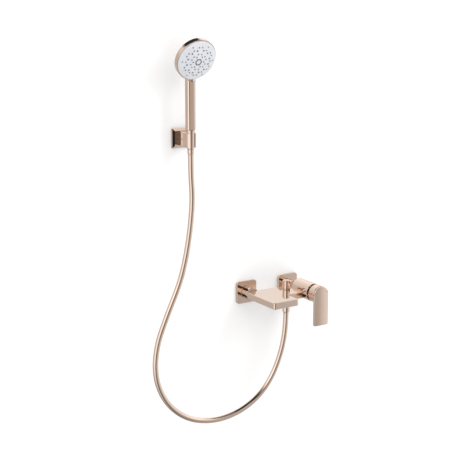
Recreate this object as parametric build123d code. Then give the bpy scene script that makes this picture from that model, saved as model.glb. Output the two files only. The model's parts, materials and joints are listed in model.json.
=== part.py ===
from build123d import *

import math
import os

# Wall mounted bath mixer with a hand shower, in millimetres.
# Frame: the wall is the plane Y = 0, -Y points into the room, +X to the right, +Z up.
# Origin: midway between the two wall inlets, on the wall.

# ---------------------------------------------------------------- wall connection
inlet_spacing = 150.0
inlet_throw = 5.0            # how far the mixer axis sits above the wall inlets
wall_thread_r = 10.48        # G 1/2
wall_thread_length = 22.0
tap_thread_r = 13.2          # G 3/4
union_shoulder_y = -4.0      # the wall thread starts here, behind the escutcheon
union_collar_r = 15.5
union_end_y = -25.0
union_bore_r = 7.0
union_bore_lap = 2.0           # the two offset bores run this far past each other

escutcheon_side = 67.4
escutcheon_depth = 8.7
escutcheon_corner_r = 9.0
escutcheon_wall = 1.8
escutcheon_edge_r = 1.0
escutcheon_clearance = 0.6

washer_thickness = 2.0
tail_r = 11.0
tail_bore_r = 6.5
tail_thread_r = 8.4
tail_collar_r = 12.6
tail_collar_length = 4.0
tail_thread_depth = 7.0
nut_r = 19.4
nut_gap = 0.8                # from the escutcheon to the nut
nut_edge_r = 1.5
filter_depth = 6.0
filter_wall = 0.8
filter_hole_r = 1.2
filter_hole_ring = 4.2
thread_clearance = 0.1
seat_clearance = 0.15

# ---------------------------------------------------------------- mixer body
body_back_y = -40.0
bar_front_y = -128.7
spout_front_y = -184.3
body_thickness = 18.8
bar_end_x = 97.5
spout_right_x = -10.5
body_corner_r = 7.0
notch_corner_r = 2.0
body_edge_r = 2.0
channel_r = 5.5
channel_height = 9.0
hot_channel_depth = 16.0      # from the body's back to the cross channel
spout_wall = 10.0
cross_channel_r = 4.5
water_entry_r = 5.0

# ---------------------------------------------------------------- valve
valve_x = 75.5
valve_rise = 5.5             # valve axis above the slab's middle plane
housing_r = 27.0
housing_back_y = -62.0
housing_front_y = -139.0
housing_back_edge_r = 3.0
housing_front_edge_r = 0.8
chamber_floor_y = -85.0
cartridge_r = 17.5
cartridge_length = 42.0
cartridge_wall = 2.4
cartridge_base = 4.5
port_r = 3.5
port_offset = 8.5
side_port_drop = 2.5
mixed_port_drop = 8.0
seal_lip = 1.0                # seal ring's width outside its port
seal_reach = 0.4              # and inside it
disc_travel_room = 4.6        # around the moving disc
disc_pocket_depth = 2.0
disc_pocket_rim = 3.4
socket_depth = 6.5
ball_depth = 3.0              # ball's centre inside the driver
slot_margin = 1.5
pin_inset = 1.5
neck_relief = 1.0
stem_reach = 6.0              # into the lever's boss
bonnet_edge_r = 1.0
bonnet_stand_out = 4.5        # from the housing towards the lever
disc_thickness = 3.5
disc_gap = 0.3
driver_length = 8.0
pivot_y = -113.0
pin_r = 2.0
stem_r = 4.0
stem_ball_r = 3.2
ball_clearance = 0.35
running_clearance = 0.06
moving_gap = 0.4
nut_thread_r = 22.0
nut_thread_runout = 4.0
retaining_nut_length = 8.0
retaining_hole_r = 13.5
bonnet_r = 20.0
bonnet_hole_r = 16.0
lift_angle = 20.0

# ---------------------------------------------------------------- lever
groove_width = 8.0
hub_r = 26.6
hub_bore_r = 22.6
hub_length = 23.0
hub_cavity_depth = 17.0
hub_edge_r = 0.8
hub_boss_r = 8.0
hub_boss_reach = 13.0
paddle_half_width = 25.6
paddle_thickness = 7.5
paddle_drop = 91.5           # from the valve axis to the paddle's bottom edge
paddle_corner_r = 6.0
paddle_crown = 1.0           # how far the paddle's sides fall behind its middle
paddle_edge_r = 1.2
grub_r = 2.5
grub_length = 5.0
grub_from_end = 5.0           # from the hub boss's end to the grub screw
hex_key_r = 1.3
hex_key_depth = 2.0
index_r = 1.5
index_depth = 0.8
index_rise = 9.5
index_side = 20.9

# ---------------------------------------------------------------- diverter and hose outlet
diverter_x = 21.5
diverter_y = -74.4
diverter_bore_r = 9.0
guide_r = 11.0
guide_flange = 1.6
guide_depth = 5.0
guide_overhang = 0.6
guide_hole_r = 3.0
diverter_stem_r = 2.9
plunger_r = 8.4
plunger_thickness = 3.0
plunger_seal_thickness = 1.5
plunger_gap = 0.4
plunger_seal_inset = 0.8
knob_r = 11.0
knob_height = 25.0
knob_gap = 0.8
knob_edge_r = 2.0
knob_socket_depth = 16.0
outlet_thread_r = 10.4
outlet_bore_r = 5.5
outlet_collar_length = 18.0
outlet_thread_length = 11.0
outlet_plug_r = 9.4
outlet_plug_depth = 3.0
hose_nut_r = 10.9

# ---------------------------------------------------------------- aerator
aerator_inset = 22.0
aerator_r = 12.0
aerator_depth = 8.0
aerator_wall = 2.0
aerator_stand_out = 1.2
insert_thickness = 5.0
insert_hole_r = 1.1
insert_hole_pitch = 3.2

# ---------------------------------------------------------------- hose
hose_r = 8.0
hose_bore_r = 5.0
hose_bend_share = 0.45       # how much of each straight run its bend may take
hose_nut_taper = 3.0
ferrule_r = 6.4
ferrule_flange_r = 9.0
ferrule_length = 20.0
ferrule_bore_r = 3.6
ferrule_flange = 3.0
nut_foot_chamfer = 1.0
nut_top_chamfer = 0.5
nut_foot_rim = 0.4
hose_route = [
    (-296, -60, 446),
    (-296, -60, 388),
    (-291.5, -60.5, 322),
    (-298.5, -62, 250),
    (-311, -63, 176),
    (-334.5, -64.5, 88),
    (-379, -65, -2),
    (-417, -65, -92),
    (-422, -66, -184),
    (-387, -67, -266),
    (-320, -68, -325),
    (-235, -69, -350),
    (-152, -70.5, -343),
    (-80, -72, -310),
    (-27, -73, -254),
    (7, -74, -177),
    (21.5, -74.4, -102),
    (21.5, -74.4, -57),
]

# ---------------------------------------------------------------- wall holder
holder_x = -296.0
holder_z = 483.5
holder_reach = 60.0          # from the wall to the handset's axis
plate_side = 55.0
plate_depth = 10.0
plate_wall = 2.0
plate_bevel_rise = 3.0
plate_bevel_width = 7.0
bracket_r = 24.0
bracket_thickness = 5.0
post_r = 7.0
post_length = 33.0
anchor_spacing = 34.0
anchor_screw_r = 2.2
anchor_hole_play = 0.2
anchor_seat = 2.5            # how deep the screw heads sit in the base
anchor_head_height = 2.2
anchor_bite = 0.02           # between a screw's core and its plug
anchor_head_r = 4.2
anchor_screw_length = 34.0
plug_r = 4.0
plug_length = 36.0
plug_start = 0.5
arm_width = 22.0
arm_height = 40.0
arm_corner_r = 3.0
ring_r = 15.2
ring_bore_r = 13.0
ring_slot = 15.0
ring_edge_r = 0.8
liner_top_r = 12.2
liner_bottom_r = 10.9
holder_grub_y = -31.0

# ---------------------------------------------------------------- handset
cone_gap = 0.35              # between the cone nut and the liner
cone_top = 8.5               # how far the cone nut stands above the ring
cone_tail = 17.0             # how far it reaches below the ring
cone_tail_r = 9.3
cone_shoulder = 3.0          # height of each step from the cone to its tail
cone_edge = 0.7
cone_inset = 0.05            # between the cone nut and the handle
handset_stub_r = 8.9
handset_stub_bore_r = 6.0
handset_stub_length = 12.0
handset_washer_lip = 1.0     # how far the washer reaches inside the stub's bore
tail_flange = 2.6
tail_flange_room = 3.0
handle_width = 27.0
handle_depth = 23.0
handle_corner_r = 7.5
handle_crown = 0.9           # how far each side bulges past its corners
handle_wall = 2.2
handle_edge_r = 1.2
handle_plug_depth = 6.0
handle_plug_play = 0.2
waterway_r = 4.6
waterway_bore_r = 3.4
waterway_foot_r = 8.0
waterway_foot = 3.0
waterway_clearance = 0.3
manifold_r = 55.5
manifold_thickness = 4.0
manifold_stand = 3.0         # from the head's rim depth to the manifold's back
manifold_margin = 1.5        # outside the mat's radius
head_tilt = 24.0
head_forward = 33.5          # from the handle's axis to the spray face's centre
head_centre_z = 704.5
head_r = 59.8
head_rim_depth = 16.0
head_back_rise = 6.0
head_back_r = 30.0
head_bevel = 3.0             # between the head's back cone and its rim
head_wall = 2.2
head_edge_r = 1.0
handle_top_drop = 8.0        # the handle's top below the head's centre
front_skin = 3.5             # head material left between the handle's hollow and the face
waterway_drop = 44.0         # the waterway's entry below the head's centre
face_r = 57.0
face_rise = 11.5             # the spray face's middle above its rim plane
face_ball_r = 212.0
face_shoulder_r = 3.5
face_thickness = 2.4
face_side_wall = 3.4
face_skirt = 4.0
face_gap = 0.5
layer_gap = 0.05             # between the layers behind the face
mat_thickness = 1.6
mat_r = 52.5
spray_disc_thickness = 3.0
nozzle_play = 0.1
nozzle_stand_out = 0.8
hex_outer_r = 10.5
hex_inner_r = 7.4
hex_height = 1.2
nozzle_hole_r = 1.9
nozzle_wide_r = 2.4
tab_width = 6.0
tab_reach = 5.5
tab_root = 2.2
tab_thickness = 3.2
tab_corner_r = 1.2
tab_turn = 4.0
lattice_edge = 47.5          # spray pattern: outer hexagon's corner radius
lattice_second = 0.79        # shares of the outer hexagon: its inner rows
lattice_inner = 0.35
lattice_pair = 0.47
rim_aside = 0.1              # shares of a row: how far its pairs stand apart
second_aside = 0.25
pair_aside = 0.105


def along_y(radius, y_from, y_to, x=0.0, z=0.0):
    """Cylinder along Y between two depths."""
    return Pos(x, (y_from + y_to) / 2, z) * Rot(90, 0, 0) * Cylinder(radius, abs(y_to - y_from))


def along_z(radius, z_from, z_to, x=0.0, y=0.0):
    """Cylinder along Z between two heights."""
    return Pos(x, y, (z_from + z_to) / 2) * Cylinder(radius, abs(z_to - z_from))


def along_x(radius, x_from, x_to, y=0.0, z=0.0):
    """Cylinder along X between two sides."""
    return Pos((x_from + x_to) / 2, y, z) * Rot(0, 90, 0) * Cylinder(radius, abs(x_to - x_from))


def block(x_span, y_span, z_span):
    """Box from its lowest and highest corners."""
    size = [abs(high - low) for low, high in (x_span, y_span, z_span)]
    middle = [(low + high) / 2 for low, high in (x_span, y_span, z_span)]
    return Pos(*middle) * Box(*size)


def revolved(points):
    """Solid of revolution about Z from a closed outline of (radius, height) points."""
    outline = make_face(Polyline(*[(radius, 0, height) for radius, height in points], close=True))
    return revolve(outline, Axis.Z)


def edges_at(solid, axis, place):
    """Edges lying wholly at one place along an axis."""
    return solid.edges().filter_by_position(axis, place - 0.01, place + 0.01)


def mixer_place():
    """The mixer's own middle plane sits a throw above the wall inlets."""
    return Pos(0, 0, inlet_throw)


sides = {"left": -inlet_spacing / 2, "right": inlet_spacing / 2}
tail_end_y = union_end_y - washer_thickness
nut_start_y = -(escutcheon_depth + nut_gap)
nut_end_y = body_back_y + moving_gap
valve_z = valve_rise
hub_back_y = housing_front_y - groove_width
hub_front_y = hub_back_y - hub_length
body_top = body_thickness / 2
body_bottom = -body_thickness / 2
spout_left_x = -bar_end_x
spout_middle_x = (spout_left_x + spout_right_x) / 2
aerator_y = spout_front_y + aerator_inset
ring_top_z = holder_z + arm_height / 2
ring_bottom_z = holder_z - arm_height / 2
hose_bottom = hose_route[-1]
handle_bottom_z = ring_top_z + cone_top


# ================================================================ wall connection
def eccentric_union(x):
    """Offset coupling: wall thread on the inlet axis, tap thread on the mixer axis."""
    wall_end = along_y(wall_thread_r, wall_thread_length, union_shoulder_y, x, 0)
    collar = along_y(union_collar_r, union_shoulder_y, nut_start_y, x, inlet_throw)
    tap_end = along_y(tap_thread_r, nut_start_y, union_end_y, x, inlet_throw)
    middle_y = (union_shoulder_y + nut_start_y) / 2
    wall_bore = along_y(union_bore_r, wall_thread_length, middle_y, x, 0)
    tap_bore = along_y(tail_bore_r, middle_y + union_bore_lap, union_end_y, x, inlet_throw)
    return wall_end + collar + tap_end - wall_bore - tap_bore


def escutcheon(x):
    """Hollow square cover with rounded corners and a hole for the union."""
    outer = extrude(RectangleRounded(escutcheon_side, escutcheon_side, escutcheon_corner_r), escutcheon_depth)
    outer = fillet(edges_at(outer, Axis.Z, escutcheon_depth), escutcheon_edge_r)
    inner_side = escutcheon_side - 2 * escutcheon_wall
    hollow = extrude(
        RectangleRounded(inner_side, inner_side, escutcheon_corner_r - escutcheon_wall),
        escutcheon_depth - escutcheon_wall,
    )
    hole = Cylinder(union_collar_r + escutcheon_clearance, 4 * escutcheon_depth)
    return Pos(x, 0, inlet_throw) * Rot(90, 0, 0) * (outer - hollow - hole)


def inlet_washer(x):
    """Flat sealing washer between union and tail."""
    ring = along_y(tail_collar_r, union_end_y, tail_end_y, x)
    ring -= along_y(tail_bore_r, union_end_y, tail_end_y, x)
    return mixer_place() * ring


def inlet_filter(x):
    """Strainer cup that sits in the tail's mouth, perforated at its floor."""
    rim_r = tail_bore_r - thread_clearance
    floor_y = tail_end_y - filter_depth
    cup = along_y(rim_r, tail_end_y, floor_y, x)
    cup -= along_y(rim_r - filter_wall, tail_end_y, floor_y + filter_wall, x)
    for turn in range(6):
        angle = math.radians(60 * turn)
        hole_x = x + filter_hole_ring * math.cos(angle)
        hole_z = filter_hole_ring * math.sin(angle)
        cup -= along_y(filter_hole_r, floor_y + 2 * filter_wall, floor_y - filter_wall, hole_x, hole_z)
    return mixer_place() * cup


def inlet_tail(x):
    """Collared tail that the union nut pulls against the union, screwed into the body."""
    collar = along_y(tail_collar_r, tail_end_y, tail_end_y - tail_collar_length, x)
    tube = along_y(tail_r, tail_end_y - tail_collar_length, body_back_y, x)
    thread = along_y(tail_thread_r, body_back_y, body_back_y - tail_thread_depth, x)
    bore = along_y(tail_bore_r, tail_end_y, body_back_y - tail_thread_depth, x)
    return mixer_place() * (collar + tube + thread - bore)


def union_nut(x):
    """Smooth round nut, captive on the tail's collar."""
    nut = along_y(nut_r, nut_start_y, nut_end_y, x)
    nut = fillet(edges_at(nut, Axis.Y, nut_start_y) + edges_at(nut, Axis.Y, nut_end_y), nut_edge_r)
    lip_y = tail_end_y - tail_collar_length - seat_clearance
    thread = along_y(tap_thread_r + thread_clearance, nut_start_y, lip_y, x)
    mouth = along_y(tail_r + seat_clearance, lip_y, nut_end_y, x)
    return mixer_place() * (nut - thread - mouth)


# ================================================================ mixer body
def body_slab():
    """Flat slab seen from above: a bar with the wide spout at its left end."""
    outline = make_face(
        Polyline(
            (spout_left_x, body_back_y),
            (bar_end_x, body_back_y),
            (bar_end_x, bar_front_y),
            (spout_right_x, bar_front_y),
            (spout_right_x, spout_front_y),
            (spout_left_x, spout_front_y),
            close=True,
        )
    )
    slab = Pos(0, 0, body_bottom) * extrude(outline, body_thickness)
    upright = slab.edges().filter_by(Axis.Z)
    notch = [e for e in upright if e.center().X > spout_right_x - 1 and e.center().X < 0
             and e.center().Y > bar_front_y - 1]
    outer = [e for e in upright if e not in notch]
    slab = fillet(outer, body_corner_r)
    corner = [e for e in slab.edges().filter_by(Axis.Z)
              if abs(e.center().X - spout_right_x) < 0.1 and abs(e.center().Y - bar_front_y) < 0.1]
    slab = fillet(corner, notch_corner_r)
    rims = edges_at(slab, Axis.Z, body_top) + edges_at(slab, Axis.Z, body_bottom)
    return fillet(rims, body_edge_r)


def body_housing():
    """Round valve housing lying along Y over the bar's right end."""
    housing = along_y(housing_r, housing_back_y, housing_front_y, valve_x, valve_z)
    housing = fillet(edges_at(housing, Axis.Y, housing_back_y), housing_back_edge_r)
    return fillet(edges_at(housing, Axis.Y, housing_front_y), housing_front_edge_r)


def body_waterways():
    """Drilled passages: hot across, cold straight, mixed water to the diverter and the spout."""
    hot_y = body_back_y - hot_channel_depth
    hot_port_x = valve_x - port_offset
    cold_port_x = valve_x + port_offset
    port_z = valve_z - side_port_drop
    mixed_z = valve_z - mixed_port_drop
    cuts = [along_y(tail_thread_r + thread_clearance, body_back_y, body_back_y - tail_thread_depth - 1, x)
            for x in sides.values()]
    cuts.append(along_y(water_entry_r, body_back_y, hot_y, sides["left"]))
    cuts.append(along_x(channel_r, sides["left"] - channel_r, hot_port_x, hot_y))
    cuts.append(along_y(port_r, hot_y, chamber_floor_y, hot_port_x, port_z))
    cuts.append(along_y(port_r, body_back_y - tail_thread_depth, chamber_floor_y, cold_port_x, port_z))
    cuts.append(along_y(port_r, diverter_y, chamber_floor_y, valve_x, mixed_z))
    cuts.append(along_x(cross_channel_r, diverter_x, valve_x + channel_r, diverter_y, mixed_z))
    cuts.append(along_x(cross_channel_r, spout_middle_x, diverter_x, diverter_y, 0))
    half_wide = (spout_right_x - spout_left_x) / 2 - spout_wall
    cuts.append(
        block(
            (spout_middle_x - half_wide, spout_middle_x + half_wide),
            (diverter_y + channel_r, spout_front_y + spout_wall),
            (-channel_height / 2, channel_height / 2),
        )
    )
    return cuts


def body_seats():
    """Machined seats: cartridge chamber, thread of the retaining nut, diverter bore, outlets."""
    thread_floor = housing_front_y + retaining_nut_length + nut_thread_runout
    return [
        along_y(cartridge_r + seat_clearance, chamber_floor_y, housing_front_y, valve_x, valve_z),
        along_y(nut_thread_r + thread_clearance, thread_floor, housing_front_y, valve_x, valve_z),
        along_z(diverter_bore_r, body_bottom + outlet_plug_depth, body_top, diverter_x, diverter_y),
        along_z(guide_r + thread_clearance, body_top - guide_depth, body_top, diverter_x, diverter_y),
        along_z(outlet_plug_r + thread_clearance, body_bottom, body_bottom + outlet_plug_depth,
                diverter_x, diverter_y),
        along_z(aerator_r + thread_clearance, body_bottom, body_bottom + aerator_depth,
                spout_middle_x, aerator_y),
    ]


def mixer_body():
    solid = body_slab() + body_housing()
    for cut in body_waterways() + body_seats():
        solid -= cut
    return mixer_place() * solid


# ================================================================ cartridge
def valve_place():
    return Pos(valve_x, 0, inlet_throw + valve_z)


cartridge_front_y = chamber_floor_y - cartridge_length
seal_thickness = 1.5
base_front_y = chamber_floor_y - seal_thickness - cartridge_base
fixed_front_y = base_front_y - disc_thickness
moving_back_y = fixed_front_y - disc_gap
moving_front_y = moving_back_y - disc_thickness
driver_front_y = moving_front_y - driver_length
carrier_back_y = driver_front_y - moving_gap
inner_r = cartridge_r - cartridge_wall
moving_r = inner_r - disc_travel_room


def ports(radius, y_from, y_to):
    """The three water ports as plugs to cut away."""
    places = [(-port_offset, -side_port_drop), (port_offset, -side_port_drop), (0, -mixed_port_drop)]
    return [along_y(radius, y_from, y_to, x, z) for x, z in places]


def cartridge_shell():
    """Plastic cup that holds the discs, with three ports in its base."""
    shell = along_y(cartridge_r, chamber_floor_y - seal_thickness, cartridge_front_y)
    shell -= along_y(inner_r, base_front_y, cartridge_front_y)
    for port in ports(port_r, chamber_floor_y, base_front_y):
        shell -= port
    return valve_place() * shell


def cartridge_seals():
    """Three rubber rings under the cartridge's ports."""
    rings = Compound(
        children=[
            outer - inner
            for outer, inner in zip(
                ports(port_r + seal_lip, chamber_floor_y, chamber_floor_y - seal_thickness),
                ports(port_r - seal_reach, chamber_floor_y, chamber_floor_y - seal_thickness),
            )
        ]
    )
    return valve_place() * rings


def fixed_disc():
    disc = along_y(inner_r - seat_clearance, base_front_y, fixed_front_y)
    for port in ports(port_r, base_front_y, fixed_front_y):
        disc -= port
    return valve_place() * disc


def moving_disc():
    """Ceramic disc with a mixing pocket that slides over the fixed disc's ports."""
    disc = along_y(moving_r, moving_back_y, moving_front_y)
    pocket = along_y(moving_r - disc_pocket_rim, moving_back_y, moving_back_y - disc_pocket_depth)
    return valve_place() * (disc - pocket)


def disc_driver():
    """Plastic dog glued on the moving disc, with a socket for the stem's ball."""
    dog = along_y(moving_r, moving_front_y, driver_front_y)
    socket_r = stem_ball_r + ball_clearance
    socket = along_y(socket_r, driver_front_y + socket_depth, driver_front_y)
    return valve_place() * (dog - socket)


def stem_carrier():
    """Rotating cage that holds the pivot pin and lets the stem tilt in a slot."""
    cage = along_y(inner_r - moving_gap, carrier_back_y, cartridge_front_y)
    half_slot = stem_r + moving_gap
    swing = math.tan(math.radians(lift_angle)) * (pivot_y - cartridge_front_y)
    slot = block((-half_slot, half_slot), (carrier_back_y, cartridge_front_y),
                 (-stem_r - slot_margin - neck_relief - 1, stem_r + swing + slot_margin))
    pin_hole = along_x(pin_r, -inner_r, inner_r, pivot_y)
    return valve_place() * (cage - slot - pin_hole)


def pivot_pin():
    return valve_place() * along_x(pin_r, -inner_r + pin_inset, inner_r - pin_inset, pivot_y)


def valve_stem():
    """Stem with a ball at its inner end and a flatted outer end for the lever."""
    ball_y = driver_front_y + ball_depth
    neck_end = driver_front_y - neck_relief
    ball = Pos(0, ball_y, 0) * Sphere(stem_ball_r)
    neck = along_y(stem_ball_r - neck_relief, ball_y, neck_end)
    shank = along_y(stem_r, neck_end, hub_front_y + stem_reach)
    pin_hole = along_x(pin_r + running_clearance, -2 * stem_r, 2 * stem_r, pivot_y)
    return valve_place() * (ball + neck + shank - pin_hole)


def retaining_nut():
    """Threaded ring that clamps the cartridge in the housing."""
    back = cartridge_front_y - seat_clearance
    ring = along_y(nut_thread_r, back, back - retaining_nut_length)
    return valve_place() * (ring - along_y(retaining_hole_r, back, back - retaining_nut_length))


def bonnet():
    """Dark neck sleeve seen in the groove between housing and lever."""
    back = cartridge_front_y - seat_clearance - retaining_nut_length
    front = housing_front_y - bonnet_stand_out
    sleeve = along_y(bonnet_r, back, front)
    sleeve = fillet(edges_at(sleeve, Axis.Y, front), bonnet_edge_r)
    return valve_place() * (sleeve - along_y(bonnet_hole_r, back, front))


# ================================================================ lever
def crown_limit(half_width, crown, top):
    """Large cylinder along Y: its top is highest in the middle and falls by the crown at the sides."""
    radius = (half_width ** 2 + crown ** 2) / (2 * crown)
    return Pos(0, 0, top - radius) * Rot(90, 0, 0) * Cylinder(radius, 20 * half_width)


def lever():
    """Hub and flat hanging paddle in one casting."""
    hub = along_y(hub_r, hub_back_y, hub_front_y)
    hub = fillet(edges_at(hub, Axis.Y, hub_back_y), hub_edge_r)
    hub -= along_y(hub_bore_r, hub_back_y, hub_back_y - hub_cavity_depth)
    boss = along_y(hub_boss_r, hub_back_y - hub_cavity_depth + hub_boss_reach, hub_front_y)
    arch = Circle(paddle_half_width)
    arch += Pos(0, -paddle_drop / 2) * Rectangle(2 * paddle_half_width, paddle_drop)
    paddle = extrude(arch, paddle_thickness) & crown_limit(paddle_half_width, paddle_crown, paddle_thickness)
    bottom = [e for e in paddle.edges().filter_by(Axis.Z) if abs(e.center().Y + paddle_drop) < 0.1]
    paddle = fillet(bottom, paddle_corner_r)
    rim = paddle.faces().sort_by(Axis.Z)[-1].edges() + edges_at(paddle, Axis.Z, 0)
    paddle = fillet(rim, paddle_edge_r)
    paddle = Pos(0, hub_front_y, 0) * Rot(90, 0, 0) * paddle
    solid = hub + boss + paddle
    solid -= along_y(stem_r + thread_clearance, hub_back_y, hub_front_y + stem_reach - thread_clearance)
    solid -= along_z(grub_r + thread_clearance, -hub_r - 1, 0, 0, grub_y())
    front = hub_front_y - paddle_thickness
    for x in (-index_side, index_side):
        solid -= along_y(index_r, front, front + index_depth, x, index_rise)
    return valve_place() * solid


def grub_y():
    return hub_back_y - hub_cavity_depth + hub_boss_reach - grub_from_end


def lever_grub_screw():
    start = -stem_r - thread_clearance
    screw = along_z(grub_r, start, start - grub_length, 0, grub_y())
    key = extrude(Pos(0, grub_y()) * RegularPolygon(hex_key_r, 6), hex_key_depth)
    return valve_place() * (screw - Pos(0, 0, start - grub_length) * key)


def index_dot(x):
    front = hub_front_y - paddle_thickness
    return valve_place() * along_y(index_r, front, front + index_depth, x, index_rise)


# ================================================================ diverter and outlet
def diverter_place():
    return Pos(diverter_x, diverter_y, inlet_throw)


def diverter_guide():
    """Flanged bush in the slab's top that guides the diverter stem."""
    low, high = body_top - guide_depth, body_top + guide_flange
    bush = along_z(guide_r, low, body_top) + along_z(guide_r + guide_overhang, body_top, high)
    return diverter_place() * (bush - along_z(guide_hole_r, low, high))


plunger_bottom = body_bottom + outlet_plug_depth + plunger_seal_thickness + plunger_gap


def diverter_stem():
    """Pull rod with the plunger at its foot."""
    knob_bottom = body_top + guide_flange + knob_gap
    rod = along_z(diverter_stem_r, plunger_bottom, knob_bottom + knob_socket_depth)
    plunger = along_z(plunger_r, plunger_bottom, plunger_bottom + plunger_thickness)
    return diverter_place() * (rod + plunger)


def diverter_seal():
    """Rubber disc under the plunger that closes the hose outlet."""
    low = plunger_bottom - plunger_seal_thickness
    return diverter_place() * along_z(plunger_r - plunger_seal_inset, low, plunger_bottom)


def diverter_knob():
    bottom = body_top + guide_flange + knob_gap
    top = bottom + knob_height
    knob = along_z(knob_r, bottom, top)
    knob = fillet(edges_at(knob, Axis.Z, top), knob_edge_r)
    knob = fillet(edges_at(knob, Axis.Z, bottom), knob_edge_r / 4)
    socket = along_z(diverter_stem_r, bottom, bottom + knob_socket_depth)
    return diverter_place() * (knob - socket)


def hose_outlet():
    """Collared outlet under the slab, threaded for the hose nut."""
    plug = along_z(outlet_plug_r, body_bottom, body_bottom + outlet_plug_depth)
    collar_end = body_bottom - outlet_collar_length
    collar = along_z(hose_nut_r, body_bottom, collar_end)
    thread = along_z(outlet_thread_r, collar_end, collar_end - outlet_thread_length)
    bore = along_z(outlet_bore_r, body_bottom + outlet_plug_depth, collar_end - outlet_thread_length)
    return diverter_place() * (plug + collar + thread - bore)


outlet_collar_z = inlet_throw + body_bottom - outlet_collar_length
outlet_end_z = outlet_collar_z - outlet_thread_length
nut_low_z = hose_bottom[2]
nut_high_z = outlet_collar_z - moving_gap


def outlet_washer():
    low = outlet_end_z - washer_thickness
    ring = along_z(outlet_thread_r - seat_clearance, low, outlet_end_z)
    ring -= along_z(outlet_bore_r, low, outlet_end_z)
    return Pos(diverter_x, diverter_y) * ring


def ferrule(top_z, direction):
    """Hose end fitting: a flange against the washer and a stepped barrel inside the nut."""
    flange_z = top_z + direction * ferrule_flange
    end_z = top_z + direction * ferrule_length
    solid = along_z(ferrule_flange_r, top_z, flange_z) + along_z(ferrule_r, flange_z, end_z)
    return solid - along_z(ferrule_bore_r, top_z, end_z)


def hose_tail_lower():
    return Pos(diverter_x, diverter_y) * ferrule(outlet_end_z - washer_thickness, -1)


def hose_nut():
    """Round hose nut on the outlet nipple, tapered at its foot."""
    profile = [
        (0, nut_low_z),
        (hose_r + nut_foot_rim, nut_low_z),
        (hose_r + nut_foot_chamfer, nut_low_z + nut_foot_chamfer),
        (hose_nut_r, nut_low_z + nut_foot_chamfer + hose_nut_taper),
        (hose_nut_r, nut_high_z - nut_top_chamfer),
        (hose_nut_r - nut_top_chamfer / 2, nut_high_z),
        (0, nut_high_z),
    ]
    solid = Pos(diverter_x, diverter_y) * revolved(profile)
    flange_low = outlet_end_z - washer_thickness - ferrule_flange - seat_clearance
    here = (diverter_x, diverter_y)
    solid -= along_z(outlet_thread_r + thread_clearance, flange_low, nut_high_z, *here)
    return solid - along_z(ferrule_r + seat_clearance, nut_low_z, flange_low, *here)


# ================================================================ aerator
def aerator_housing():
    """Threaded sleeve in the spout's underside."""
    low = body_bottom - aerator_stand_out
    high = body_bottom + aerator_depth - moving_gap
    sleeve = along_z(aerator_r, low, high) - along_z(aerator_r - aerator_wall, low, high)
    return Pos(spout_middle_x, aerator_y, inlet_throw) * sleeve


def aerator_insert():
    """Flow straightener: a disc with rings of round holes."""
    low = body_bottom
    high = low + insert_thickness
    disc = along_z(aerator_r - aerator_wall - seat_clearance, low, high)
    places = [(0.0, 0.0)]
    for ring, count in ((insert_hole_pitch, 6), (2 * insert_hole_pitch, 12)):
        for step in range(count):
            angle = 2 * math.pi * step / count
            places.append((ring * math.cos(angle), ring * math.sin(angle)))
    for x, y in places:
        disc -= along_z(insert_hole_r, low, high, x, y)
    return Pos(spout_middle_x, aerator_y, inlet_throw) * disc


# ================================================================ hose
def hose_tube():
    """Smooth tube along straight runs joined by the largest arcs the runs allow."""
    points = [Vector(*p) for p in hose_route]
    radii = []
    for before, corner, after in zip(points, points[1:], points[2:]):
        turn = math.radians((corner - before).get_angle(after - corner))
        shorter = min((corner - before).length, (after - corner).length)
        radii.append(hose_bend_share * shorter / math.tan(turn / 2))
    print("hose radii", [round(r) for r in radii])
    path = FilletPolyline(*points, radius=radii)
    start = Plane(origin=points[0], z_dir=points[1] - points[0])
    section = start * (Circle(hose_r) - Circle(hose_bore_r))
    tube = sweep(section, path=path)
    section_area = math.pi * (hose_r ** 2 - hose_bore_r ** 2)
    volume_share = tube.volume / (section_area * path.length)
    print("hose length", round(path.length, 1), "volume share", round(volume_share, 4))
    return tube


# ================================================================ wall holder
def holder_place():
    return Pos(holder_x, 0, holder_z)


def holder_bracket():
    """Round base screwed to the wall, with the post that carries the arm."""
    base = along_y(bracket_r, 0, -bracket_thickness)
    post = along_y(post_r, -bracket_thickness, -post_length - plate_depth)
    solid = base + post
    for z in (-anchor_spacing / 2, anchor_spacing / 2):
        solid -= along_y(anchor_screw_r + anchor_hole_play, 0, -bracket_thickness, 0, z)
        solid -= along_y(anchor_head_r + anchor_hole_play, anchor_seat - bracket_thickness,
                         -bracket_thickness, 0, z)
    return holder_place() * solid


def holder_screws():
    """Two round-headed screws through the bracket into the wall plugs."""
    screws = []
    for z in (-anchor_spacing / 2, anchor_spacing / 2):
        head_back = anchor_seat - bracket_thickness
        head = along_y(anchor_head_r, head_back, head_back - anchor_head_height, 0, z)
        shank = along_y(anchor_screw_r, anchor_screw_length, head_back, 0, z)
        screws.append(head + shank)
    return holder_place() * Compound(children=screws)


def wall_plugs():
    plugs = []
    for z in (-anchor_spacing / 2, anchor_spacing / 2):
        body = along_y(plug_r, plug_start, plug_start + plug_length, 0, z)
        bore = along_y(anchor_screw_r + anchor_bite, plug_start, plug_start + plug_length, 0, z)
        plugs.append(body - bore)
    return holder_place() * Compound(children=plugs)


def holder_cover():
    """Square cover plate with a bevelled front, hollow behind."""
    side = plate_side
    cover = extrude(Rectangle(side, side), plate_depth)
    front = cover.faces().sort_by(Axis.Z)[-1]
    cover = chamfer(front.edges(), plate_bevel_width, plate_bevel_rise, reference=front)
    hollow_side = side - 2 * plate_wall
    hollow = extrude(Rectangle(hollow_side, hollow_side), plate_depth - plate_bevel_rise - plate_wall / 2)
    hole = Cylinder(post_r + thread_clearance, 4 * plate_depth)
    return holder_place() * Rot(90, 0, 0) * (cover - hollow - hole)


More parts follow.
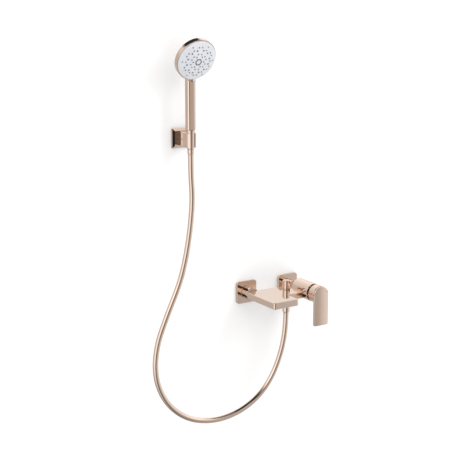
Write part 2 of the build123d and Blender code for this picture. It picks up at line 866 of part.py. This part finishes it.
def holder_arm():
    """Arm and slotted ring in one casting, pushed over the bracket's post."""
    half = arm_height / 2
    reach = holder_reach
    arm = block((-arm_width / 2, arm_width / 2), (-reach, -plate_depth), (-half, half))
    long_edges = [e for e in arm.edges().filter_by(Axis.Y)]
    arm = fillet(long_edges, arm_corner_r)
    ring = along_z(ring_r, -half, half, 0, -reach)
    ring = fillet(ring.edges().filter_by(GeomType.CIRCLE), ring_edge_r)
    solid = arm + ring
    solid -= along_z(ring_bore_r, -half, half, 0, -reach)
    solid -= block((-ring_slot / 2, ring_slot / 2), (-reach - ring_r - 1, -reach), (-half, half))
    solid -= along_y(post_r + thread_clearance, -plate_depth, -plate_depth - post_length - moving_gap)
    solid -= along_x(grub_r + thread_clearance, -arm_width / 2, -post_r, holder_grub_y)
    return holder_place() * solid


def holder_grub_screw():
    start = -post_r - thread_clearance
    end = -arm_width / 2 + moving_gap
    screw = along_x(grub_r, end, start, holder_grub_y)
    key = Pos(end, holder_grub_y, 0) * Rot(0, 90, 0) * extrude(RegularPolygon(hex_key_r, 6), hex_key_depth)
    return holder_place() * (screw - key)


def holder_liner():
    """Plastic bush with the conical seat for the cone nut."""
    half = arm_height / 2
    outer = ring_bore_r - 0.02
    profile = [(liner_bottom_r, -half), (outer, -half), (outer, half), (liner_top_r, half)]
    bush = revolved(profile)
    bush -= block((-ring_slot / 2 - 0.01, ring_slot / 2 + 0.01), (-ring_r, 0), (-half, half))
    return holder_place() * Pos(0, -holder_reach, 0) * bush


# ================================================================ handset
def handset_axis():
    return Pos(holder_x, -holder_reach, 0)


def cone_nut():
    """Tapered nut that joins hose and handset and rests in the holder."""
    top_r = liner_top_r - cone_gap
    low_r = liner_bottom_r - cone_gap
    slope = (top_r - low_r) / arm_height
    top_z = handle_bottom_z - cone_inset
    low_z = ring_bottom_z - cone_tail
    crest_r = top_r + slope * (top_z - cone_edge - ring_top_z)
    profile = [
        (0, low_z),
        (cone_tail_r - cone_edge, low_z),
        (cone_tail_r, low_z + cone_edge),
        (cone_tail_r, ring_bottom_z - 2 * cone_shoulder),
        (low_r - slope * cone_shoulder, ring_bottom_z - cone_shoulder),
        (low_r, ring_bottom_z),
        (top_r, ring_top_z),
        (crest_r, top_z - cone_edge),
        (crest_r - cone_edge, top_z),
        (0, top_z),
    ]
    nut = revolved(profile)
    stub_low = handle_bottom_z - handset_stub_length - washer_thickness
    shelf = stub_low - tail_flange_room - moving_gap
    nut -= along_z(handset_stub_r + thread_clearance, shelf, top_z)
    return handset_axis() * (nut - along_z(ferrule_r + running_clearance, low_z, shelf))


def handset_washer():
    high = handle_bottom_z - handset_stub_length
    low = high - washer_thickness
    ring = along_z(handset_stub_r - seat_clearance, low, high)
    return handset_axis() * (ring - along_z(handset_stub_bore_r - handset_washer_lip, low, high))


def hose_tail_upper():
    """Swivelling hose end fitting inside the cone nut."""
    top = handle_bottom_z - handset_stub_length - washer_thickness - moving_gap
    end = ring_bottom_z - cone_tail
    flange = along_z(handset_stub_r - seat_clearance, top - tail_flange, top)
    barrel = along_z(ferrule_r, end + cone_inset, top - tail_flange)
    return handset_axis() * (flange + barrel - along_z(ferrule_bore_r, end, top))


def handset_nipple():
    """Threaded plug that closes the handle's foot."""
    inner = RectangleRounded(
        handle_width - 2 * handle_wall - handle_plug_play,
        handle_depth - 2 * handle_wall - handle_plug_play,
        handle_corner_r - handle_wall,
    )
    plug = Pos(0, 0, handle_bottom_z) * extrude(inner, handle_plug_depth)
    stub = along_z(handset_stub_r, handle_bottom_z - handset_stub_length, handle_bottom_z)
    bore = along_z(handset_stub_bore_r, handle_bottom_z - handset_stub_length,
                   handle_bottom_z + handle_plug_depth)
    return handset_axis() * (plug + stub - bore)


def head_plane():
    """Plane of the spray face: Z along the spray, Y up the face."""
    tilt = math.radians(head_tilt)
    return Plane(
        origin=(holder_x, -holder_reach - head_forward, head_centre_z),
        x_dir=(1, 0, 0),
        z_dir=(0, -math.cos(tilt), -math.sin(tilt)),
    )


def head_location():
    return head_plane().location


head_back = -head_rim_depth - head_back_rise
manifold_entry_z = head_centre_z - waterway_drop
manifold_front = manifold_stand + manifold_thickness - head_rim_depth
handle_top_z = head_centre_z - handle_top_drop
far_span = 120.0             # long enough to clear everything on one side of a plane


def handle_section():
    """Four slightly bulging sides with rounded corners."""
    section = Rectangle(handle_width, handle_depth)
    sides_of = ((handle_width / 2, handle_depth / 2, 0), (handle_depth / 2, handle_width / 2, 90))
    for half, across, turn in sides_of:
        radius = (half ** 2 + handle_crown ** 2) / (2 * handle_crown)
        for flip in (0, 180):
            section &= Rot(0, 0, turn + flip) * Pos(0, across - radius) * Circle(radius)
    return fillet(section.vertices(), handle_corner_r)


def handset_shell():
    """Handle and round head in one hollow plated moulding."""
    cup = revolved([
        (0, head_back), (head_back_r, head_back), (head_r - head_bevel, -head_rim_depth),
        (head_r, head_bevel - head_rim_depth), (head_r, 0), (0, 0),
    ])
    cup = fillet(edges_at(cup, Axis.Z, 0), head_edge_r)
    handle = Pos(0, 0, handle_bottom_z) * extrude(handle_section(), handle_top_z - handle_bottom_z)
    handle = fillet(edges_at(handle, Axis.Z, handle_bottom_z), handle_edge_r)
    in_front = head_location() * along_z(face_r + tab_reach + 1, -face_gap, far_span)
    behind = head_location() * along_z(3 * head_r, head_back - far_span, head_back)
    solid = handset_axis() * handle - in_front - behind + head_location() * cup
    cavity = revolved([
        (0, head_back + head_wall), (head_back_r - head_wall / 2, head_back + head_wall),
        (head_r - head_bevel - head_wall / 2, head_wall - head_rim_depth),
        (head_r - head_wall, head_bevel + head_wall / 2 - head_rim_depth),
        (head_r - head_wall, head_edge_r), (0, head_edge_r),
    ])
    inner = RectangleRounded(
        handle_width - 2 * handle_wall, handle_depth - 2 * handle_wall, handle_corner_r - handle_wall
    )
    bore = Pos(0, 0, handle_bottom_z) * extrude(inner, handle_top_z - handle_wall - handle_bottom_z)
    front_wall = head_location() * along_z(2 * head_r, -front_skin, far_span)
    back_wall = head_location() * along_z(3 * head_r, head_back + head_wall - far_span, head_back + head_wall)
    hollow = handset_axis() * bore - front_wall - back_wall
    passage = along_z(waterway_r + waterway_clearance, handle_bottom_z, manifold_entry_z)
    return solid - head_location() * cavity - hollow - handset_axis() * passage


def waterway():
    """Inner tube and round manifold that feeds the spray face."""
    disc = along_z(manifold_r, manifold_front - manifold_thickness, manifold_front)
    low = handle_bottom_z + handle_plug_depth
    foot = along_z(waterway_foot_r, low, low + waterway_foot)
    tube = handset_axis() * (foot + along_z(waterway_r, low, manifold_entry_z))
    bore = handset_axis() * along_z(waterway_bore_r, low, manifold_entry_z + waterway_r)
    opening_r = mat_r + manifold_margin
    in_front = head_location() * along_z(opening_r, manifold_front, manifold_front + 2 * waterway_r)
    return tube - in_front + head_location() * disc - bore


def spray_lattice():
    """Nozzle places (x, y, wide) on the hexagonal pattern."""
    places = []
    rim = lattice_edge
    second = lattice_second * lattice_edge
    inner = lattice_inner * lattice_edge
    for turn in range(6):
        corner = math.radians(60 * turn)
        for radius in (rim, second, inner):
            places.append((radius * math.cos(corner), radius * math.sin(corner), False))
        middle = math.radians(60 * turn + 30)
        rows = (
            (rim * math.cos(math.pi / 6), rim_aside * rim, False),
            (second * math.cos(math.pi / 6), second_aside * second, True),
            (lattice_pair * rim, pair_aside * rim, False),
        )
        for out, aside, wide in rows:
            for side in (-aside, aside):
                x = out * math.cos(middle) - side * math.sin(middle)
                y = out * math.sin(middle) + side * math.cos(middle)
                places.append((x, y, wide))
    return places


def face_height(radius):
    """Height of the domed face above its rim plane at one radius."""
    return face_rise - face_ball_r + math.sqrt(face_ball_r ** 2 - radius ** 2)


def dome(radius, low, lift):
    """Column from a flat floor up to the face's ball, lifted by an amount."""
    ball = Pos(0, 0, face_rise - face_ball_r + lift) * Sphere(face_ball_r)
    return along_z(radius, low, face_rise + lift + 1) & ball


def face_location():
    return head_location() * Pos(0, 0, face_gap)


def face_plate():
    """White domed spray face with a rounded shoulder, nozzle holes and the selector tab."""
    plate = dome(face_r, -face_skirt, 0)
    plate = fillet(edges_at(plate, Axis.Z, face_height(face_r)), face_shoulder_r)
    plate -= dome(face_r - face_side_wall, -face_skirt, -face_thickness)
    for x, y, wide in spray_lattice():
        plate -= along_z(nozzle_wide_r if wide else nozzle_hole_r, 0, face_rise + 1, x, y)
    tab_length = tab_root + tab_reach
    tab = Pos(0, -face_r - tab_reach + tab_length / 2, tab_thickness / 2) * Box(
        tab_width, tab_length, tab_thickness
    )
    tab = fillet(tab.edges().filter_by(Axis.Z).sort_by(Axis.Y)[:2], tab_corner_r)
    return face_location() * (plate + Rot(0, 0, tab_turn) * tab)


def nozzle_mat():
    """Soft domed mat behind the face, with a nozzle standing through each hole."""
    top = -face_thickness - layer_gap
    mat = dome(mat_r, 0, top) - dome(mat_r + 1, -1, top - mat_thickness)
    for x, y, wide in spray_lattice():
        radius = (nozzle_wide_r if wide else nozzle_hole_r) - nozzle_play
        height = face_height(math.hypot(x, y))
        mat += along_z(radius, height + top - mat_thickness / 2, height + nozzle_stand_out, x, y)
    return face_location() * mat


def spray_disc():
    """Domed rear carrier of the spray face, hollow behind."""
    top = -face_thickness - 2 * layer_gap - mat_thickness
    low = -face_skirt - spray_disc_thickness
    disc = dome(mat_r, low, top)
    hollow = dome(mat_r - spray_disc_thickness, low - 1, top - spray_disc_thickness)
    return face_location() * (disc - hollow)


def hex_ring():
    """Grey six-sided ring at the middle of the face."""
    height = face_rise + hex_height
    ring = extrude(RegularPolygon(hex_outer_r, 6), height) - extrude(RegularPolygon(hex_inner_r, 6), height)
    shell = dome(face_r, 0, hex_height) - dome(face_r, 0, 0)
    return face_location() * (ring & shell)


# ================================================================ writing
def build_nodes():
    nodes = {"mixer_body": mixer_body()}
    for side, x in sides.items():
        nodes["eccentric_union_" + side] = eccentric_union(x)
        nodes["escutcheon_" + side] = escutcheon(x)
        nodes["inlet_washer_" + side] = inlet_washer(x)
        nodes["inlet_filter_" + side] = inlet_filter(x)
        nodes["inlet_tail_" + side] = inlet_tail(x)
        nodes["union_nut_" + side] = union_nut(x)
    nodes["cartridge_shell"] = cartridge_shell()
    nodes["cartridge_seals"] = cartridge_seals()
    nodes["fixed_disc"] = fixed_disc()
    nodes["moving_disc"] = moving_disc()
    nodes["disc_driver"] = disc_driver()
    nodes["stem_carrier"] = stem_carrier()
    nodes["pivot_pin"] = pivot_pin()
    nodes["valve_stem"] = valve_stem()
    nodes["retaining_nut"] = retaining_nut()
    nodes["bonnet"] = bonnet()
    nodes["lever"] = lever()
    nodes["lever_grub_screw"] = lever_grub_screw()
    nodes["hot_index"] = index_dot(-index_side)
    nodes["cold_index"] = index_dot(index_side)
    nodes["diverter_guide"] = diverter_guide()
    nodes["diverter_stem"] = diverter_stem()
    nodes["diverter_seal"] = diverter_seal()
    nodes["diverter_knob"] = diverter_knob()
    nodes["hose_outlet"] = hose_outlet()
    nodes["outlet_washer"] = outlet_washer()
    nodes["hose_tail_lower"] = hose_tail_lower()
    nodes["hose_nut"] = hose_nut()
    nodes["aerator_housing"] = aerator_housing()
    nodes["aerator_insert"] = aerator_insert()
    nodes["hose"] = hose_tube()
    nodes["holder_bracket"] = holder_bracket()
    nodes["holder_screws"] = holder_screws()
    nodes["wall_plugs"] = wall_plugs()
    nodes["holder_cover"] = holder_cover()
    nodes["holder_arm"] = holder_arm()
    nodes["holder_grub_screw"] = holder_grub_screw()
    nodes["holder_liner"] = holder_liner()
    nodes["cone_nut"] = cone_nut()
    nodes["handset_washer"] = handset_washer()
    nodes["hose_tail_upper"] = hose_tail_upper()
    nodes["handset_nipple"] = handset_nipple()
    nodes["handset_shell"] = handset_shell()
    nodes["waterway"] = waterway()
    nodes["face_plate"] = face_plate()
    nodes["nozzle_mat"] = nozzle_mat()
    nodes["spray_disc"] = spray_disc()
    nodes["hex_ring"] = hex_ring()
    return nodes


os.makedirs("parts", exist_ok=True)
for name, shape in build_nodes().items():
    export_step(shape, os.path.join("parts", name + ".step"))
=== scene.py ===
import json
import math

import bpy
from mathutils import Matrix, Vector


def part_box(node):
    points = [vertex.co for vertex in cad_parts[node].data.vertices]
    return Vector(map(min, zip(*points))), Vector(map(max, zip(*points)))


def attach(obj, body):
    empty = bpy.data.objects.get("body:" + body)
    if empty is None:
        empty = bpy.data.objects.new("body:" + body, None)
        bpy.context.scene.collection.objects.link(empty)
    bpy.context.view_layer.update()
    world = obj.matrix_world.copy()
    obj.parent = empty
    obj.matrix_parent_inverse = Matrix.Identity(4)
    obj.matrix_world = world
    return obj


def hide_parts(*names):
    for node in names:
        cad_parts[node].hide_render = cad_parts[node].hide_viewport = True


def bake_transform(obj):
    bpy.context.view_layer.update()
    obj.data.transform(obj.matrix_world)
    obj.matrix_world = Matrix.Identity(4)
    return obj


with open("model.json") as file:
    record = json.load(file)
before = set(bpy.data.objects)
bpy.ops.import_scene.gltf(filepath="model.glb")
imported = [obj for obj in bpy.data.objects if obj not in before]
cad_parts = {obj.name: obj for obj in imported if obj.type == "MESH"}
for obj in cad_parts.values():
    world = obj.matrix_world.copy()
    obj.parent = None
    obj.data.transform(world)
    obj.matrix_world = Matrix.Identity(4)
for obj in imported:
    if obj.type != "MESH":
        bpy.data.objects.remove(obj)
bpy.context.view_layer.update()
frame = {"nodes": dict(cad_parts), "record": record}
nodes = frame["nodes"]

# Wall mounted bath mixer with hand shower, in metres. The wall is the plane y = 0 and the room lies
# on the side of -Y. Every piece sits where its CAD node or the driving values below put it.

# ------------------------------------------------------------------ view
camera_place = (-1.9753, -2.8707, 0.9741)
camera_heading = math.radians(32.75)     # turned from +Y towards +X
camera_pitch = math.radians(12.81)       # down
camera_lens = 93.9

# Studio shades that reflections see: (degrees round from the camera's side, shade), to the right
# positive, and (degrees above the horizon, shade).
studio_round = (
    (-180, 0.66), (-120, 0.46), (-84, 0.46), (-62, 0.62), (-48, 0.95), (-14, 0.90), (0, 0.60),
    (3, 0.02), (25, 0.02),
    (29, 0.42), (56, 0.37), (66, 0.40), (72, 0.58), (79, 0.74), (110, 0.72), (180, 0.66),
)
studio_height = (
    (-90, 0.30), (-40, 0.45), (-14, 0.65), (14, 0.70), (27, 0.90), (40, 0.90),
    (52, 0.03), (90, 0.03),
)
studio_gain = 2.0
room_white = 1.15

key_place = (1.6, -2.4, 2.4)
key_target = (-0.1, 0, 0.15)
key_size = 1.3
key_power = 26

wall_span = 6.0
wall_middle_z = 0.2
wall_set_back = 0.0004                   # behind the plates' backs
floor_span = 16.0
floor_height = -0.75
paint_rough = 0.9

# ------------------------------------------------------------------ hose
hose_diameter = 0.016
hose_route = [
    (-0.296, -0.06, 0.446),
    (-0.296, -0.06, 0.388),
    (-0.2915, -0.0605, 0.322),
    (-0.2985, -0.062, 0.25),
    (-0.311, -0.063, 0.176),
    (-0.3345, -0.0645, 0.088),
    (-0.379, -0.065, -0.002),
    (-0.417, -0.065, -0.092),
    (-0.422, -0.066, -0.184),
    (-0.387, -0.067, -0.266),
    (-0.32, -0.068, -0.325),
    (-0.235, -0.069, -0.35),
    (-0.152, -0.0705, -0.343),
    (-0.08, -0.072, -0.31),
    (-0.027, -0.073, -0.254),
    (0.007, -0.074, -0.177),
    (0.0215, -0.0744, -0.102),
    (0.0215, -0.0744, -0.057),
]

# ------------------------------------------------------------------ threads and crimp
inlet_x = {"left": -0.075, "right": 0.075}
wall_thread_r = 0.01048
thread_pitch = 0.0018
thread_crest_r = 0.0004
thread_clear_of_wall = 0.0015
crimp_step = 0.0022
crimp_wire_r = 0.0004
crimp_rings = 2


# ================================================================== helpers
def deselect_all():
    if bpy.context.mode != "OBJECT":
        bpy.ops.object.mode_set(mode="OBJECT")
    bpy.ops.object.select_all(action="DESELECT")


def make_active(piece):
    deselect_all()
    piece.select_set(True)
    bpy.context.view_layer.objects.active = piece


# ================================================================== materials
def new_material(name):
    made = bpy.data.materials.new(name)
    made.use_nodes = True
    tree = made.node_tree
    return made, tree, tree.nodes["Principled BSDF"]


def add_noise(tree, scale, detail=2.0, rough=0.5):
    """Noise on object coordinates."""
    where = tree.nodes.new("ShaderNodeTexCoord")
    noise = tree.nodes.new("ShaderNodeTexNoise")
    noise.inputs["Scale"].default_value = scale
    noise.inputs["Detail"].default_value = detail
    noise.inputs["Roughness"].default_value = rough
    tree.links.new(where.outputs["Object"], noise.inputs["Vector"])
    return noise


noise_low, noise_high = 0.3, 0.7          # middle range of a noise


def spread(tree, source, low, high):
    """Maps a noise's middle range to low..high."""
    ranged = tree.nodes.new("ShaderNodeMapRange")
    ranged.inputs["From Min"].default_value = noise_low
    ranged.inputs["From Max"].default_value = noise_high
    ranged.inputs["To Min"].default_value = low
    ranged.inputs["To Max"].default_value = high
    tree.links.new(source, ranged.inputs["Value"])
    return ranged.outputs["Result"]


def tint(tree, source, dark, light):
    """Colour ramp from dark to light over a noise."""
    ramp = tree.nodes.new("ShaderNodeValToRGB")
    ramp.color_ramp.elements[0].position = noise_low
    ramp.color_ramp.elements[0].color = (*dark, 1)
    ramp.color_ramp.elements[1].position = noise_high
    ramp.color_ramp.elements[1].color = (*light, 1)
    tree.links.new(source, ramp.inputs["Fac"])
    return ramp.outputs["Color"]


def bump(tree, shader, source, strength, distance):
    node = tree.nodes.new("ShaderNodeBump")
    node.inputs["Strength"].default_value = strength
    node.inputs["Distance"].default_value = distance
    tree.links.new(source, node.inputs["Height"])
    tree.links.new(node.outputs["Normal"], shader.inputs["Normal"])


def polished_metal(name, colour, rough_low, rough_high):
    """Plated metal: a faint tone drift, a film of handling in the gloss and a nearly flat lapped grain."""
    made, tree, shader = new_material(name)
    shader.inputs["Metallic"].default_value = 1.0
    cloud = add_noise(tree, 14.0)
    darker = tuple(0.965 * c for c in colour)
    tree.links.new(tint(tree, cloud.outputs["Fac"], darker, colour), shader.inputs["Base Color"])
    film = add_noise(tree, 55.0, 4.0)
    tree.links.new(spread(tree, film.outputs["Fac"], rough_low, rough_high), shader.inputs["Roughness"])
    grain = add_noise(tree, 900.0, 3.0)
    bump(tree, shader, grain.outputs["Fac"], 0.015, 0.0002)
    return made


def moulded(name, colour, rough, coat=0.0, grain_scale=700.0, grain=0.05, metallic=0.0):
    """Moulded plastic or rubber with a fine skin."""
    made, tree, shader = new_material(name)
    shader.inputs["Metallic"].default_value = metallic
    shader.inputs["Coat Weight"].default_value = coat
    shader.inputs["Coat Roughness"].default_value = 0.08
    cloud = add_noise(tree, 40.0)
    darker = tuple(0.93 * c for c in colour)
    tree.links.new(tint(tree, cloud.outputs["Fac"], darker, colour), shader.inputs["Base Color"])
    film = add_noise(tree, 120.0, 3.0)
    low, high = 0.9 * rough, 1.15 * rough
    tree.links.new(spread(tree, film.outputs["Fac"], low, high), shader.inputs["Roughness"])
    skin = add_noise(tree, grain_scale, 2.0)
    bump(tree, shader, skin.outputs["Fac"], grain, 0.0002)
    return made


rose = (0.84, 0.655, 0.54)
rose_gold = polished_metal("rose_gold_pvd", rose, 0.04, 0.08)
rose_gold_soft = polished_metal("rose_gold_plated_moulding", rose, 0.05, 0.09)
hose_skin = polished_metal("hose_metallised_skin", rose, 0.08, 0.12)
raw_brass = polished_metal("turned_brass", (0.72, 0.53, 0.25), 0.22, 0.34)
steel = polished_metal("turned_steel", (0.56, 0.56, 0.57), 0.2, 0.32)
# Near-black bonnet colour is painted shade: it stands for the shade in the recessed groove round the
# bonnet.
bonnet_painted_shade = moulded("bonnet_painted_shade", (0.018, 0.014, 0.012), 0.35)
engineering_plastic = moulded("technical_plastic", (0.78, 0.78, 0.75), 0.4)
ceramic = moulded("lapped_ceramic", (0.86, 0.84, 0.78), 0.12, coat=0.3)
seal_rubber = moulded("seal_rubber", (0.02, 0.02, 0.02), 0.6, grain=0.2)
face_white = moulded("spray_face_white", (0.66, 0.675, 0.71), 0.22, coat=0.5, grain=0.02)
nozzle_grey = moulded("nozzle_silicone", (0.19, 0.195, 0.21), 0.5, grain=0.15)
index_blue = moulded("index_blue", (0.06, 0.09, 0.45), 0.2, coat=0.6, grain=0.0)
index_red = moulded("index_red", (0.55, 0.05, 0.03), 0.2, coat=0.6, grain=0.0)
nylon = moulded("plug_nylon", (0.42, 0.42, 0.40), 0.5, grain=0.2)

finishes = {
    "rose_gold": rose_gold,
    "rose_gold_moulding": rose_gold_soft,
    "raw_brass": raw_brass,
    "steel": steel,
    # The dark_bonnet slot takes the near-black painted shade of the groove round the bonnet.
    "dark_bonnet": bonnet_painted_shade,
    "technical_plastic": engineering_plastic,
    "ceramic": ceramic,
    "seal_rubber": seal_rubber,
    "face_white": face_white,
    "nozzle_grey": nozzle_grey,
    "hose_skin": hose_skin,
    "index_blue": index_blue,
    "index_red": index_red,
    "plug_nylon": nylon,
}


def finish_cad_nodes():
    """Every carried-over CAD node takes the finish of its material slot."""
    slot_of = {part["node"]: part["material_slot"] for part in frame["record"]["subparts"]}
    for name, node in nodes.items():
        node.data.materials.clear()
        node.data.materials.append(finishes[slot_of[name]])


# ================================================================== camera and light
def make_camera():
    data = bpy.data.cameras.new("studio_camera")
    data.lens = camera_lens
    data.sensor_width = 36.0
    data.clip_end = 50.0
    camera = bpy.data.objects.new("studio_camera", data)
    camera.location = camera_place
    camera.rotation_euler = (math.pi / 2 - camera_pitch, 0.0, -camera_heading)
    bpy.context.scene.collection.objects.link(camera)
    bpy.context.scene.camera = camera


def make_light(name, place, target, size, power):
    """Square area light that reflections don't see."""
    data = bpy.data.lights.new(name, "AREA")
    data.shape = "RECTANGLE"
    data.size = data.size_y = size
    data.energy = power
    light = bpy.data.objects.new(name, data)
    light.location = place
    light.rotation_euler = (Vector(target) - Vector(place)).to_track_quat("-Z", "Y").to_euler()
    light.visible_glossy = False
    bpy.context.scene.collection.objects.link(light)


def shade_ramp(tree, source, reach, stops):
    """Grey ramp over an angle from -reach to +reach; stops are (degrees, shade)."""
    ramp = tree.nodes.new("ShaderNodeValToRGB")
    ranged = tree.nodes.new("ShaderNodeMapRange")
    ranged.inputs["From Min"].default_value = -reach
    ranged.inputs["From Max"].default_value = reach
    tree.links.new(source, ranged.inputs["Value"])
    tree.links.new(ranged.outputs["Result"], ramp.inputs["Fac"])
    elements = ramp.color_ramp.elements
    while len(elements) < len(stops):
        elements.new(0.5)
    for element, (degrees, shade) in zip(elements, stops):
        element.position = (math.radians(degrees) + reach) / (2 * reach)
        element.color = (shade, shade, shade, 1)
    return ramp.outputs["Color"]


def make_world():
    """Plain white studio. Reflections see its softboxes and dark flags by direction round the mixer."""
    world = bpy.data.worlds.new("studio")
    bpy.context.scene.world = world
    world.use_nodes = True
    tree = world.node_tree
    tree.nodes.clear()
    where = tree.nodes.new("ShaderNodeTexCoord")
    turned = tree.nodes.new("ShaderNodeVectorRotate")
    turned.rotation_type = "Z_AXIS"
    turned.inputs["Angle"].default_value = camera_heading
    tree.links.new(where.outputs["Generated"], turned.inputs["Vector"])
    split = tree.nodes.new("ShaderNodeSeparateXYZ")
    tree.links.new(turned.outputs["Vector"], split.inputs["Vector"])
    front = tree.nodes.new("ShaderNodeMath")
    front.operation = "MULTIPLY"
    front.inputs[1].default_value = -1.0
    tree.links.new(split.outputs["Y"], front.inputs[0])
    round_angle = tree.nodes.new("ShaderNodeMath")
    round_angle.operation = "ARCTAN2"
    tree.links.new(split.outputs["X"], round_angle.inputs[0])
    tree.links.new(front.outputs["Value"], round_angle.inputs[1])
    around = shade_ramp(tree, round_angle.outputs["Value"], math.pi, studio_round)
    height = tree.nodes.new("ShaderNodeMath")
    height.operation = "ARCSINE"
    tree.links.new(split.outputs["Z"], height.inputs[0])
    upward = shade_ramp(tree, height.outputs["Value"], math.pi / 2, studio_height)
    both = tree.nodes.new("ShaderNodeMix")
    both.data_type = "RGBA"
    both.blend_type = "MULTIPLY"
    both.inputs["Factor"].default_value = 1.0
    tree.links.new(around, both.inputs["A"])
    tree.links.new(upward, both.inputs["B"])
    reflected = tree.nodes.new("ShaderNodeBackground")
    reflected.inputs["Strength"].default_value = studio_gain
    tree.links.new(both.outputs["Result"], reflected.inputs["Color"])
    plain = tree.nodes.new("ShaderNodeBackground")
    plain.inputs["Color"].default_value = (1, 1, 1, 1)
    plain.inputs["Strength"].default_value = room_white
    ray = tree.nodes.new("ShaderNodeLightPath")
    mix = tree.nodes.new("ShaderNodeMixShader")
    tree.links.new(ray.outputs["Is Glossy Ray"], mix.inputs["Fac"])
    tree.links.new(plain.outputs["Background"], mix.inputs[1])
    tree.links.new(reflected.outputs["Background"], mix.inputs[2])
    out = tree.nodes.new("ShaderNodeOutputWorld")
    tree.links.new(mix.outputs["Shader"], out.inputs["Surface"])


def make_wall():
    """Pale wall behind the mixer; seen from behind it lets the view through."""
    deselect_all()
    bpy.ops.mesh.primitive_plane_add(size=1)
    wall = bpy.context.active_object
    wall.name = "wall"
    place = Matrix.Translation((0, wall_set_back, wall_middle_z))
    upright = Matrix.Rotation(math.pi / 2, 4, "X")
    wall.data.transform(place @ upright @ Matrix.Diagonal((wall_span, wall_span, 1, 1)))
    material = bpy.data.materials.new("wall_paint")
    material.use_nodes = True
    tree = material.node_tree
    shader = tree.nodes["Principled BSDF"]
    shader.inputs["Base Color"].default_value = (0.93, 0.93, 0.93, 1)
    shader.inputs["Roughness"].default_value = paint_rough
    shader.inputs["Specular IOR Level"].default_value = 0.0
    side = tree.nodes.new("ShaderNodeNewGeometry")
    clear = tree.nodes.new("ShaderNodeBsdfTransparent")
    mix = tree.nodes.new("ShaderNodeMixShader")
    tree.links.new(side.outputs["Backfacing"], mix.inputs["Fac"])
    tree.links.new(shader.outputs["BSDF"], mix.inputs[1])
    tree.links.new(clear.outputs["BSDF"], mix.inputs[2])
    tree.links.new(mix.outputs["Shader"], tree.nodes["Material Output"].inputs["Surface"])
    wall.data.materials.append(material)
    wall.visible_glossy = False


def make_floor():
    """Plain pale floor well below the hose."""
    deselect_all()
    bpy.ops.mesh.primitive_plane_add(size=1)
    floor = bpy.context.active_object
    floor.name = "floor"
    place = Matrix.Translation((0, 0, floor_height))
    floor.data.transform(place @ Matrix.Diagonal((floor_span, floor_span, 1, 1)))
    material = bpy.data.materials.new("floor_paint")
    material.use_nodes = True
    shader = material.node_tree.nodes["Principled BSDF"]
    shader.inputs["Base Color"].default_value = (0.92, 0.92, 0.92, 1)
    shader.inputs["Roughness"].default_value = paint_rough
    floor.data.materials.append(material)
    floor.visible_glossy = False


# ================================================================== hose
def hose_curve():
    """Open spline through the hose's route."""
    data = bpy.data.curves.new("hose_line", "CURVE")
    data.dimensions = "3D"
    data.resolution_u = 24
    spline = data.splines.new("NURBS")
    spline.points.add(len(hose_route) - 1)
    for point, place in zip(spline.points, hose_route):
        point.co = (*place, 1)
    spline.order_u = 3
    spline.use_endpoint_u = True
    made = bpy.data.objects.new("hose_line", data)
    bpy.context.scene.collection.objects.link(made)
    return made


def make_hose():
    """Smooth tube along the spline."""
    line = hose_curve()
    bpy.context.view_layer.update()
    traced = bpy.data.meshes.new_from_object(line)
    bpy.data.meshes.remove(traced)
    line.data.bevel_depth = hose_diameter / 2
    line.data.bevel_resolution = 8
    line.data.use_fill_caps = True
    make_active(line)
    bpy.ops.object.convert(target="MESH")
    hose = bpy.context.active_object
    hose.name = "hose_tube"
    bpy.ops.object.shade_smooth()
    hose.data.materials.clear()
    hose.data.materials.append(hose_skin)
    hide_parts("hose")
    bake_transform(hose)


# ================================================================== threads and crimp
def ring_row(name, ring_r, wire_r, places, axis, slot_name):
    """One piece of equal round rings, each at its place, all turned about one axis."""
    turns = {"Y": (math.pi / 2, 0, 0), "Z": (0, 0, 0)}
    rings = []
    for place in places:
        deselect_all()
        bpy.ops.mesh.primitive_torus_add(
            major_radius=ring_r, minor_radius=wire_r, major_segments=72, minor_segments=10,
            location=place, rotation=turns[axis],
        )
        bpy.ops.object.transform_apply(location=True, rotation=True, scale=True)
        bpy.ops.object.shade_smooth()
        rings.append(bpy.context.active_object)
    deselect_all()
    for ring in rings:
        ring.select_set(True)
    bpy.context.view_layer.objects.active = rings[0]
    bpy.ops.object.join()
    row = bpy.context.active_object
    row.name = name
    row.data.materials.clear()
    row.data.materials.append(finishes[slot_name])
    return row


def inlet_threads(side):
    """Thread crests on the part of a union that screws into the wall."""
    low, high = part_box("eccentric_union_" + side)
    x = inlet_x[side]
    first = thread_clear_of_wall
    count = int((high[1] - 2 * thread_crest_r - first) / thread_pitch) + 1
    places = [(x, first + turn * thread_pitch, 0) for turn in range(count)]
    row = ring_row("inlet_thread_" + side, wall_thread_r, thread_crest_r, places, "Y", "raw_brass")
    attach(row, "root")


def hose_crimps():
    """Pressed rings below each end of the hose."""
    for name, (x, y, z), body in (
        ("crimp_lower", hose_route[-1], "root"),
        ("crimp_upper", hose_route[0], "hose_end"),
    ):
        places = [(x, y, z - crimp_step * (turn + 0.5)) for turn in range(crimp_rings)]
        row = ring_row(name, hose_diameter / 2, crimp_wire_r, places, "Z", "rose_gold")
        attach(row, body)


# ================================================================== making
make_camera()
make_world()
make_wall()
make_floor()
make_light("key", key_place, key_target, key_size, key_power)
make_hose()
for side in inlet_x:
    inlet_threads(side)
hose_crimps()
finish_cad_nodes()
bpy.context.scene.view_settings.view_transform = "Standard"
